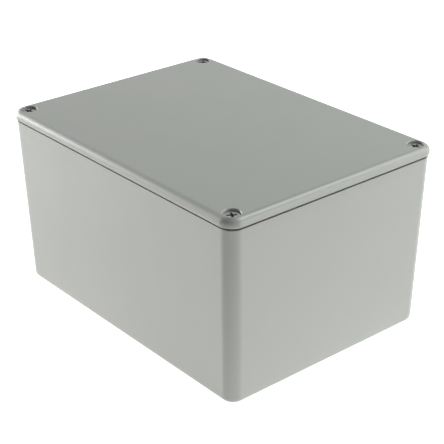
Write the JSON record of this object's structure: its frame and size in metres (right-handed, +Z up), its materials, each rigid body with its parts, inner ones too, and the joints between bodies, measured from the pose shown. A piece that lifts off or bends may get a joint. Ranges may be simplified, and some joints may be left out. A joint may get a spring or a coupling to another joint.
{
  "type": "die cast aluminium box",
  "caption": "Grey painted die cast box with leaning walls, a flat round-edged lid held by sunk corner screws, a thin seal in the joint and board guides inside.",
  "frame": {"origin": "centre of the underside", "axes": "+X along the long side, +Y along the short side away from the front, +Z up out of the lid"},
  "size_m": [0.15, 0.111, 0.0825],
  "materials": {
    "casting_paint": "satin grey paint on cast aluminium",
    "seal_rubber": "matt black neoprene",
    "screw_metal": "dull zinc plate"
  },
  "bodies": {
    "base": {"base": "casting_paint"},
    "lid": {"lid": "casting_paint", "seal": "seal_rubber"},
    "screw_front_left": {"screw_front_left": "screw_metal"},
    "screw_front_right": {"screw_front_right": "screw_metal"},
    "screw_back_right": {"screw_back_right": "screw_metal"},
    "screw_back_left": {"screw_back_left": "screw_metal"}
  },
  "joints": [
    {"name": "lid_lift", "type": "slide", "parent": "base", "child": "lid", "axis": [0, 0, 1], "range_m": [0, 0.04]},
    {"name": "screw_front_left_out", "type": "slide", "parent": "lid", "child": "screw_front_left", "axis": [0, 0, 1], "range_m": [0, 0.02]},
    {"name": "screw_front_right_out", "type": "slide", "parent": "lid", "child": "screw_front_right", "axis": [0, 0, 1], "range_m": [0, 0.02]},
    {"name": "screw_back_right_out", "type": "slide", "parent": "lid", "child": "screw_back_right", "axis": [0, 0, 1], "range_m": [0, 0.02]},
    {"name": "screw_back_left_out", "type": "slide", "parent": "lid", "child": "screw_back_left", "axis": [0, 0, 1], "range_m": [0, 0.02]}
  ]
}
